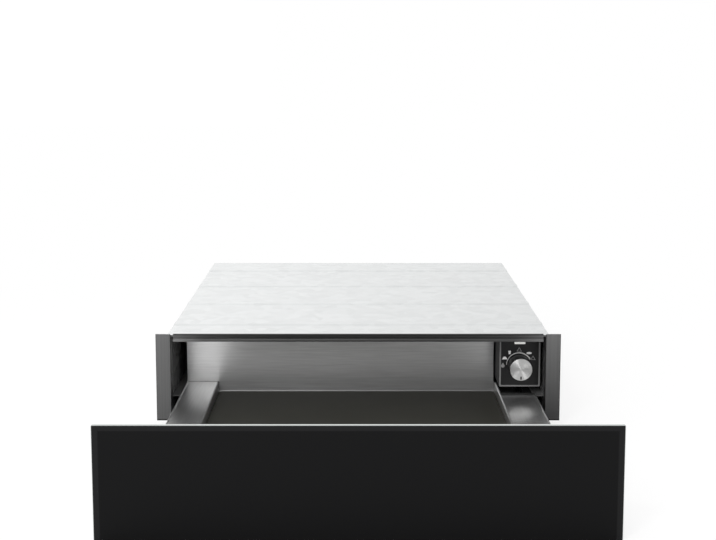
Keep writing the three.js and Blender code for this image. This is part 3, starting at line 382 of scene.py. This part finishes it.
# ---- Mat ----
# An anti-slip mat of nitrile rubber on a glass-fibre mesh, cut to the recess with rounded
# corners. Its moulded grain leaves it matt and slightly warm in colour.
PIMPLE, DUST = 1.6, 35
mat_rubber, place = bare_finish("grained_nitrile_rubber")
pimples = add(mat_rubber, "TexVoronoi", {"Vector": place, "Scale": 1 / (PIMPLE * MM)})
dust = add(mat_rubber, "TexNoise", {"Vector": place, "Scale": 1 / (DUST * MM), "Detail": 5.0})
tone = add(mat_rubber, "Mix", {
    0: dust.outputs[0], 6: linear("#22211b"), 7: linear("#2b2a23"),
}, data_type="RGBA")
bump = add(mat_rubber, "Bump", {
    "Height": pimples.outputs["Distance"], "Strength": 0.5, "Distance": 0.15 * MM,
})
shader = add(mat_rubber, "BsdfPrincipled", {
    "Base Color": tone.outputs[2], "Roughness": 0.62, "IOR": 1.5, "Normal": bump.outputs[0],
})
add(mat_rubber, "OutputMaterial", {"Surface": shader.outputs[0]})
dress(mat_rubber, "anti_slip_mat")

# ---- Drawer front ----
# Toughened glass, 4 mm, with a black enamel on its back and ground edges, bonded to a folded
# steel carrier. Past the carrier's edges the enamel is painted paler, as painted light where
# nothing stands behind the glass. Two zinc-plated brackets, with two pan-head screws each,
# tie the inner front to the ledges.
GRIT, WAVE, LIT_MARGIN = 0.8, 220, 1.5
black_glass, place = bare_finish("black_backed_glass_painted_light_margin")
facing = add(black_glass, "NewGeometry").outputs["Normal"]
ways = add(black_glass, "SeparateXYZ", {0: facing})
ahead = add(black_glass, "Math", {0: ways.outputs[Y]}, operation="ABSOLUTE")
edge = add(black_glass, "MapRange", {
    "Value": ahead.outputs[0], "From Min": 0.97, "From Max": 0.85, "To Min": 0.0, "To Max": 1.0,
})
grit = add(black_glass, "TexNoise", {"Vector": place, "Scale": 1 / (GRIT * MM), "Detail": 3.0})
wave = add(black_glass, "TexNoise", {"Vector": place, "Scale": 1 / (WAVE * MM), "Detail": 1.0})
# Painted light: a paler enamel in a thin margin past the carrier's edges.
off_centre = add(black_glass, "VectorMath", {0: place}, operation="ABSOLUTE")
beyond = add(black_glass, "VectorMath", {
    0: off_centre.outputs[0], 1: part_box("front_carrier")[1],
}, operation="SUBTRACT")
past = add(black_glass, "SeparateXYZ", {0: beyond.outputs[0]})
furthest = add(black_glass, "Math", {0: past.outputs[X], 1: past.outputs[Z]}, operation="MAXIMUM")
painted_light_margin = add(black_glass, "MapRange", {
    "Value": furthest.outputs[0], "From Min": 0.0, "From Max": LIT_MARGIN * MM,
    "To Min": 0.0, "To Max": 1.0,
})
enamel = add(black_glass, "Mix", {
    0: painted_light_margin.outputs[0], 6: linear("#030304"), 7: linear("#151516"),
}, data_type="RGBA")
tone = add(black_glass, "Mix", {
    0: edge.outputs[0], 6: enamel.outputs[2], 7: linear("#c9cdcb"),
}, data_type="RGBA")
gloss = add(black_glass, "MapRange", {
    "Value": edge.outputs[0], "From Min": 0.0, "From Max": 1.0, "To Min": 0.04, "To Max": 0.45,
})
relief = add(black_glass, "Math", {0: edge.outputs[0], 1: grit.outputs[0]}, operation="MULTIPLY")
height = add(black_glass, "Math", {0: relief.outputs[0], 1: wave.outputs[0]}, operation="ADD")
bump = add(black_glass, "Bump", {
    "Height": height.outputs[0], "Strength": 0.2, "Distance": 0.03 * MM,
})
# The specular level is low, because the room that the glass gives back is dim.
shader = add(black_glass, "BsdfPrincipled", {
    "Base Color": tone.outputs[2], "Roughness": gloss.outputs[0], "IOR": 1.52,
    "Specular IOR Level": 0.12, "Normal": bump.outputs[0],
})
add(black_glass, "OutputMaterial", {"Surface": shader.outputs[0]})
dress(black_glass, "glass_front")
dress(black_coat, "front_carrier")
dress(rail_zinc, "left_front_bracket", "right_front_bracket")


def solid(name, points, faces, finish, body):
    """A piece from its points in millimetres and its faces, smooth except at sharp edges."""
    SHARP = 35  # degrees
    work = bmesh.new()
    corners = [work.verts.new(Vector(point) * MM) for point in points]
    for face in faces:
        work.faces.new([corners[i] for i in face])
    bmesh.ops.recalc_face_normals(work, faces=work.faces)
    for face in work.faces:
        face.smooth = True
    for edge in work.edges:
        edge.smooth = edge.calc_face_angle(math.pi) < math.radians(SHARP)
    mesh = bpy.data.meshes.new(name)
    work.to_mesh(mesh)
    work.free()
    mesh.materials.append(finish)
    piece = bpy.data.objects.new(name, mesh)
    bpy.context.scene.collection.objects.link(piece)
    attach(piece, body)
    return piece


def stacked(rings):
    """The points and faces of a closed stack of rings, each a list of as many points."""
    count = len(rings[0])
    faces = []
    for start in range(0, count * (len(rings) - 1), count):
        for i in range(count):
            j = (i + 1) % count
            faces.append([start + i, start + j, start + count + j, start + count + i])
    faces.append(list(range(count)))
    faces.append([count * (len(rings) - 1) + i for i in range(count)])
    return [point for ring in rings for point in ring], faces


def screw(name, x, y, z, body):
    """A pan-head screw looking back along Y, its cross recess drawn as four lobes."""
    SIDES, HEAD = 32, 3.9
    profile = [  # share of the head's radius, rise off the sheet, and whether the recess is here
        (1.0, -0.6, False), (1.0, 0.9, False), (0.92, 1.5, False), (0.7, 2.0, False),
        (0.52, 2.15, True), (0.4, 1.2, True), (0.1, 0.9, True),
    ]
    rings = []
    for share, rise, recessed in profile:
        ring = []
        for i in range(SIDES):
            turn = 2 * math.pi * i / SIDES
            lobe = 0.55 + 0.45 * math.cos(2 * turn) ** 4 if recessed else 1.0
            radius = HEAD * share * lobe
            ring.append((x + radius * math.cos(turn), y + rise, z + radius * math.sin(turn)))
        rings.append(ring)
    return solid(name, *stacked(rings), rail_zinc, body)


BRACKET_SHEET, BRACKET_PITCH = 1.5, 24
for side in ("left", "right"):
    low, high = (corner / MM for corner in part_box(f"{side}_front_bracket"))
    inward = (high.x - low.x - BRACKET_SHEET) / 2
    across = low.x + inward if side == "right" else high.x - inward
    for word, offset in (("lower", -BRACKET_PITCH / 2), ("upper", BRACKET_PITCH / 2)):
        screw(
            f"{side}_{word}_bracket_screw", across, low.y + BRACKET_SHEET,
            (low.z + high.z) / 2 + offset, "drawer",
        )

# ---- Control box ----
# A folded steel housing behind a panel moulded in black ABS, finely grained so that it looks
# satin, whose raised rim is hot-foiled in grey. The dial is screen printed on the panel.
GRAIN = 0.9
panel_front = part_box("control_panel")[0].y / MM
FOIL, NO_FOIL = panel_front + 0.1, panel_front + 0.3
panel_abs, place = bare_finish("grained_black_abs")
grain = add(panel_abs, "TexNoise", {"Vector": place, "Scale": 1 / (GRAIN * MM), "Detail": 3.0})
depth = add(panel_abs, "SeparateXYZ", {0: place})
foil = add(panel_abs, "MapRange", {
    "Value": depth.outputs[Y], "From Min": NO_FOIL * MM, "From Max": FOIL * MM,
    "To Min": 0.0, "To Max": 1.0,
})
tone = add(panel_abs, "Mix", {
    0: foil.outputs[0], 6: linear("#121213"), 7: linear("#808080"),
}, data_type="RGBA")
gloss = add(panel_abs, "MapRange", {
    "Value": grain.outputs[0], "From Min": 0.3, "From Max": 0.7, "To Min": 0.36, "To Max": 0.5,
})
bump = add(panel_abs, "Bump", {
    "Height": grain.outputs[0], "Strength": 0.3, "Distance": 0.04 * MM,
})
shader = add(panel_abs, "BsdfPrincipled", {
    "Base Color": tone.outputs[2], "Roughness": gloss.outputs[0], "IOR": 1.54,
    "Specular IOR Level": 0.32, "Normal": bump.outputs[0],
})
add(panel_abs, "OutputMaterial", {"Surface": shader.outputs[0]})
dress(panel_abs, "control_panel")
dress(black_coat, "control_housing")

# The pilot lamp's lens, moulded in milky acrylic, which spreads its light into an even bar.
RIPPLE = 1.2
lamp_acrylic, place = bare_finish("white_acrylic_lens")
ripple = add(lamp_acrylic, "TexNoise", {
    "Vector": place, "Scale": 1 / (RIPPLE * MM), "Detail": 1.0,
})
bump = add(lamp_acrylic, "Bump", {
    "Height": ripple.outputs[0], "Strength": 0.2, "Distance": 0.05 * MM,
})
shader = add(lamp_acrylic, "BsdfPrincipled", {
    "Base Color": linear("#fbfbf8"), "Roughness": 0.22, "IOR": 1.49, "Normal": bump.outputs[0],
    "Emission Color": linear("#fbfbf8"), "Emission Strength": 0.3,
})
add(lamp_acrylic, "OutputMaterial", {"Surface": shader.outputs[0]})
dress(lamp_acrylic, "pilot_lamp_lens")

# The dial, screen printed in white and grey: an arc that thickens clockwise as the heat rises,
# with six plain pictures round it: a drop, a dome, a cup, a plate and two triangles.
DIAL = (239.9, 71.9)  # the X and Z of its middle
RIM_RISE = 0.8
PANEL_FACE = panel_front + RIM_RISE
INK = 0.06  # thicker than real ink, so that the print stays clear of the panel's face
PICTURE_RADIUS = 23.7


def inked(points, faces, outline, hole=None):
    """Adds one printed mark: a thin prism of its outline, or of the strip round a hole."""
    start = len(points)
    count = len(outline)
    rings = [outline, hole] if hole else [outline]
    for depth in (PANEL_FACE - INK, PANEL_FACE + INK):
        for ring in rings:
            points += [(DIAL[0] + x, depth, DIAL[1] + z) for x, z in ring]
    stride = count * len(rings)
    for i in range(count):
        j = (i + 1) % count
        faces.append([start + i, start + j, start + stride + j, start + stride + i])
        if hole:
            inner = start + count
            faces.append([inner + i, inner + j, inner + stride + j, inner + stride + i])
            faces.append([start + i, start + j, inner + j, inner + i])
            far = start + stride
            faces.append([far + i, far + j, far + count + j, far + count + i])
    if not hole:
        faces.append([start + i for i in range(count)])
        faces.append([start + stride + i for i in range(count)])


def placed(outline, angle):
    """An outline drawn about its own middle, moved to its place on the ring of pictures."""
    turn = math.radians(angle)
    x, z = PICTURE_RADIUS * math.cos(turn), PICTURE_RADIUS * math.sin(turn)
    return [(x + a, z + b) for a, b in outline]


def around(width, height, steps, first=0, last=360, lift=0):
    """Points on an ellipse, or on the part of it between two angles."""
    turns = [math.radians(first + (last - first) * i / steps) for i in range(steps)]
    return [(width / 2 * math.cos(t), height / 2 * math.sin(t) + lift) for t in turns]


def screen_ink(name, colour, thin):
    """Screen ink on plastic: matt, and a little darker where the mesh left it thin."""
    MESH = 0.5  # a printing screen is finer: this is as coarse as it needs to show
    ink, place = bare_finish(name)
    pinholes = add(ink, "TexNoise", {"Vector": place, "Scale": 1 / (MESH * MM), "Detail": 2.0})
    tone = add(ink, "Mix", {
        0: pinholes.outputs[0], 6: linear(colour), 7: linear(thin),
    }, data_type="RGBA")
    shader = add(ink, "BsdfPrincipled", {"Base Color": tone.outputs[2], "Roughness": 0.6})
    add(ink, "OutputMaterial", {"Surface": shader.outputs[0]})
    return ink


ARC_STEPS, ARC_START, ARC_SWEEP = 48, 180, 153  # the last two in degrees
ARC_INSIDE, ARC_THIN, ARC_THICK = 17.9, 0.7, 1.9
turns = [math.radians(ARC_START - ARC_SWEEP * i / ARC_STEPS) for i in range(ARC_STEPS + 1)]
arc = []
for i, turn in enumerate(turns):
    outside = ARC_INSIDE + ARC_THIN + (ARC_THICK - ARC_THIN) * i / ARC_STEPS
    arc.append((outside * math.cos(turn), outside * math.sin(turn)))
arc += [(ARC_INSIDE * math.cos(turn), ARC_INSIDE * math.sin(turn)) for turn in reversed(turns)]
points, faces = [], []
inked(points, faces, arc)
pale_ink = screen_ink("pale_grey_screen_ink", "#ececea", "#c8c8c8")
solid("dial_print_arc", points, faces, pale_ink, "cabinet")

triangle = [(-3.9, -3.0), (3.9, -3.0), (0, 3.6)]
triangle_hole = [(-2.6, -2.3), (2.6, -2.3), (0, 2.2)]
drop = around(5.4, 5.4, steps=18, first=-215, last=35, lift=-1.0) + [(0, 4.0)]
points, faces = [], []
for angle in (89, 27):
    inked(points, faces, placed(triangle, angle), placed(triangle_hole, angle))
inked(points, faces, placed(drop, 181))
grey_ink = screen_ink("grey_screen_ink", "#a4a4a4", "#808080")
solid("dial_print_grey", points, faces, grey_ink, "cabinet")

dome = around(6.2, 6.2, steps=16, last=180, lift=-1.0)
dome += [(-3.1, -1.0), (-4.3, -2.2), (4.3, -2.2), (3.1, -1.0)]
cup = [(-1.4, -2.6), (1.4, -2.6), (2.0, 2.6), (-2.0, 2.6)]
plate = around(8.0, 3.4, steps=24)
points, faces = [], []
for outline, angle in ((dome, 153), (cup, 126), (plate, 50)):
    inked(points, faces, placed(outline, angle))
white_ink = screen_ink("white_screen_ink", "#ffffff", "#e8e8e8")
solid("dial_print_white", points, faces, white_ink, "cabinet")

# ---- Knob ----
# A phenolic knob on the regulator's shaft, capped with a disc of aluminium spun on a lathe,
# whose rings turn the light into two fans. The pointer is a black line let into the cap.
knob_low, knob_high = (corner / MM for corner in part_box("knob_body"))
knob_x, knob_z = (knob_low.x + knob_high.x) / 2, (knob_low.z + knob_high.z) / 2


def turned(name, profile, finish):
    """A lathe-turned piece about the knob's axis, from the radius and Y of its section."""
    SIDES = 96
    rings = []
    for radius, y in profile:
        ring = []
        for i in range(SIDES):
            turn = 2 * math.pi * i / SIDES
            ring.append((knob_x + radius * math.cos(turn), y, knob_z + radius * math.sin(turn)))
        rings.append(ring)
    return solid(name, *stacked(rings), finish, "knob")


# Phenolic, moulded hot and lightly polished: deep black, with faint clouds of flow in its gloss.
FLOW = 5
phenolic, place = bare_finish("polished_black_phenolic")
flow = add(phenolic, "TexNoise", {"Vector": place, "Scale": 1 / (FLOW * MM), "Detail": 4.0})
tone = add(phenolic, "Mix", {
    0: flow.outputs[0], 6: linear("#1c1c1c"), 7: linear("#2a2a2a"),
}, data_type="RGBA")
gloss = add(phenolic, "MapRange", {
    "Value": flow.outputs[0], "From Min": 0.3, "From Max": 0.7, "To Min": 0.28, "To Max": 0.4,
})
bump = add(phenolic, "Bump", {
    "Height": flow.outputs[0], "Strength": 0.1, "Distance": 0.05 * MM,
})
shader = add(phenolic, "BsdfPrincipled", {
    "Base Color": tone.outputs[2], "Roughness": gloss.outputs[0], "IOR": 1.6,
    "Normal": bump.outputs[0],
})
add(phenolic, "OutputMaterial", {"Surface": shader.outputs[0]})
grip = turned("knob_grip", [
    (14.6, knob_low.y), (15.6, knob_low.y + 0.15), (16.2, knob_low.y + 0.6),
    (16.4, knob_low.y + 1.2), (17.0, knob_high.y - 1.2), (16.9, knob_high.y - 0.5),
    (16.3, knob_high.y - 0.1), (15.8, knob_high.y),
], phenolic)
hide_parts("knob_body")

# Spun aluminium: fine rings round the axis spread the light outwards from it.
RING = 0.35  # the lathe's rings are finer: these are as wide as they need to show
spun_cap, place = bare_finish("spun_aluminium")
hub = Vector((knob_x, 0, knob_z)) * MM
from_axis = add(spun_cap, "VectorMath", {0: place, 1: hub}, operation="SUBTRACT")
radial = add(spun_cap, "VectorMath", {0: from_axis.outputs[0], 1: (1, 0, 1)}, operation="MULTIPLY")
radius = add(spun_cap, "VectorMath", {0: radial.outputs[0]}, operation="LENGTH")
ring_place = add(spun_cap, "CombineXYZ", {0: radius.outputs["Value"]})
rings = add(spun_cap, "TexNoise", {
    "Vector": ring_place.outputs[0], "Scale": 1 / (RING * MM), "Detail": 3.0,
})
tone = add(spun_cap, "Mix", {
    0: rings.outputs[0], 6: linear("#bababa"), 7: linear("#e2e2e0"),
}, data_type="RGBA")
bump = add(spun_cap, "Bump", {
    "Height": rings.outputs[0], "Strength": 0.3, "Distance": 0.03 * MM,
})
outward = add(spun_cap, "VectorMath", {0: radial.outputs[0]}, operation="NORMALIZE")
shader = add(spun_cap, "BsdfPrincipled", {
    "Base Color": tone.outputs[2], "Metallic": 1.0, "Roughness": 0.42, "Anisotropic": 0.97,
    "Tangent": outward.outputs[0], "Normal": bump.outputs[0],
})
add(spun_cap, "OutputMaterial", {"Surface": shader.outputs[0]})
cap_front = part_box("knob_cap")[0].y / MM
cap = turned("spun_knob_cap", [
    (0.5, cap_front + 0.4), (8.2, cap_front + 0.25), (15.7, cap_front + 0.05),
    (16.2, cap_front + 0.2), (16.4, cap_front + 0.45), (16.4, cap_front + 1.3),
], spun_cap)
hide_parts("knob_cap")

POINTER_HALF, POINTER_INNER, POINTER_OUTER, POINTER_DEPTH = 1.1, 10.2, 14.8, 1.0
pointer = [
    [
        (knob_x - POINTER_HALF, y, knob_z - POINTER_OUTER),
        (knob_x + POINTER_HALF, y, knob_z - POINTER_OUTER),
        (knob_x + POINTER_HALF, y, knob_z - POINTER_INNER),
        (knob_x - POINTER_HALF, y, knob_z - POINTER_INNER),
    ]
    for y in (cap_front, cap_front + POINTER_DEPTH)
]
solid("knob_pointer_line", *stacked(pointer), phenolic, "knob")
dress(rail_zinc, "regulator_shaft")

# ---- Rear compartment ----
# Fan, shaded-pole motor, tubular heating element, safety thermostat, push latches, terminal
# block and cable bushing, on the baffle and the rear panel. They are hidden in use, and
# plain: plated steel, varnished iron, copper wire, and pale and black mouldings.
SPECK = 1.5  # wood-flour specks, which make the pale moulding look slightly mottled
thermoset, place = bare_finish("pale_urea_moulding")
specks = add(thermoset, "TexNoise", {"Vector": place, "Scale": 1 / (SPECK * MM), "Detail": 4.0})
tone = add(thermoset, "Mix", {
    0: specks.outputs[0], 6: linear("#cfc7b4"), 7: linear("#e4ddcc"),
}, data_type="RGBA")
bump = add(thermoset, "Bump", {
    "Height": specks.outputs[0], "Strength": 0.2, "Distance": 0.04 * MM,
})
shader = add(thermoset, "BsdfPrincipled", {
    "Base Color": tone.outputs[2], "Roughness": 0.45, "IOR": 1.55, "Normal": bump.outputs[0],
})
add(thermoset, "OutputMaterial", {"Surface": shader.outputs[0]})
dress(thermoset, "temperature_regulator", "safety_thermostat", "terminal_block")
dress(panel_abs, "left_latch_housing", "left_latch_plunger")
dress(panel_abs, "right_latch_housing", "right_latch_plunger", "inlet_bushing")
dress(rail_zinc, "fan_impeller", "motor_rotor", "motor_strap", "element_flange")
dress(black_coat, "motor_core")

# The element's sheath is dulled brown by heat, and the coil's wire shines under its lacquer.
# Both have the soft clouds of a plated surface.
hot_steel = zinc_plate("heat_dulled_stainless", "#8a7f72", dull="#6c655e", roughness=0.4)
dress(hot_steel, "heating_element")
wire = zinc_plate("lacquered_copper_wire", "#b0693c", dull="#8c4a26", roughness=0.35, flake=0.8)
dress(wire, "motor_coil")

# Two screws down each side of the rear panel, and one through its foot and its head.
rear_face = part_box("rear_panel")[1] / MM
for word, x, z in (
    ("lower_left", -262, 14), ("upper_left", -262, 112), ("lower_middle", 96, 10),
    ("upper_middle", -96, 117), ("lower_right", 262, 14), ("upper_right", 262, 112),
):
    screw(f"rear_panel_screw_{word}", x, rear_face.y, z, "cabinet")

# ---- Studio ----
# A white room with a pale floor. It is brighter on the left, and two soft lights hang in
# front: a large one, and a small one aimed at the knob.
FLOOR_GAP = 0.4
bpy.ops.mesh.primitive_plane_add(size=12, location=(0, 0, cad_box[0][2] - FLOOR_GAP * MM))
floor = bpy.context.object
floor.name = "studio_floor"

# Matt white paint, which keeps the object's shadow near it and is plain white further away.
SHADED, PLAIN = 450, 1200
floor_paint, place = bare_finish("matt_white_floor")
seen = add(floor_paint, "LightPath").outputs["Is Camera Ray"]
matt = add(floor_paint, "BsdfDiffuse", {"Color": linear("#ffffff")})
glow = add(floor_paint, "Emission", {"Color": linear("#ffffff"), "Strength": 1.0})
away = add(floor_paint, "VectorMath", {0: place}, operation="LENGTH")
lost = add(floor_paint, "MapRange", {
    "Value": away.outputs["Value"], "From Min": SHADED * MM, "From Max": PLAIN * MM,
    "To Min": 0.75, "To Max": 1.0,
})
share = add(floor_paint, "Math", {0: seen, 1: lost.outputs[0]}, operation="MULTIPLY")
mixed = add(floor_paint, "MixShader", {0: share.outputs[0], 1: matt.outputs[0], 2: glow.outputs[0]})
add(floor_paint, "OutputMaterial", {"Surface": mixed.outputs[0]})
floor.data.materials.append(floor_paint)

BRIGHT_SIDE, DIM_SIDE = 1.15, 0.55
studio = bpy.data.worlds.new("white_studio")
bpy.context.scene.world = studio
studio.use_nodes = True
studio.node_tree.nodes.clear()
heading = add(studio, "TexCoord").outputs["Generated"]
ways = add(studio, "SeparateXYZ", {0: heading})
level = add(studio, "MapRange", {
    "Value": ways.outputs[X], "From Min": -0.4, "From Max": 0.9,
    "To Min": BRIGHT_SIDE, "To Max": DIM_SIDE,
})
seen = add(studio, "LightPath").outputs["Is Camera Ray"]
strength = add(studio, "Math", {0: level.outputs[0], 1: seen}, operation="MAXIMUM")
sky = add(studio, "Background", {"Color": linear("#ffffff"), "Strength": strength.outputs[0]})
add(studio, "OutputWorld", {"Surface": sky.outputs[0]})


def soft_light(name, width, height, watts, place, aim):
    """A rectangular light at a place in metres, turned to face a point."""
    panel = bpy.data.lights.new(name, "AREA")
    panel.shape, panel.size, panel.size_y, panel.energy = "RECTANGLE", width, height, watts
    light = bpy.data.objects.new(name, panel)
    light.location = place
    light.rotation_euler = (Vector(aim) - light.location).to_track_quat("-Z", "Y").to_euler()
    bpy.context.scene.collection.objects.link(light)


soft_light(
    "soft_top_light", width=1.4, height=0.9, watts=14, place=(-0.8, -2.3, 1.5), aim=(0, 0, 0),
)
soft_light(
    "small_upper_light", width=0.3, height=0.3, watts=5, place=(-0.53, -1.35, 1.61),
    aim=(0.24, 0, 0.07),
)

# ---- Camera ----
# It stands in front and looks down a little, so that the uprights draw in only slightly. The
# lens's downward shift then brings the object to its place low in the picture.
EYE = (-0.0003, -1.5216, 0.5469)  # metres
PITCH = 6  # degrees
LENS, SENSOR, SHIFT = 53.85, 36, -0.1565
camera_data = bpy.data.cameras.new("camera")
camera_data.lens = LENS
camera_data.sensor_width = SENSOR
camera_data.shift_y = SHIFT
camera = bpy.data.objects.new("camera", camera_data)
camera.location = EYE
camera.rotation_euler = (math.radians(90 - PITCH), 0, 0)
bpy.context.scene.collection.objects.link(camera)
bpy.context.scene.camera = camera
bpy.context.scene.view_settings.view_transform = "Standard"
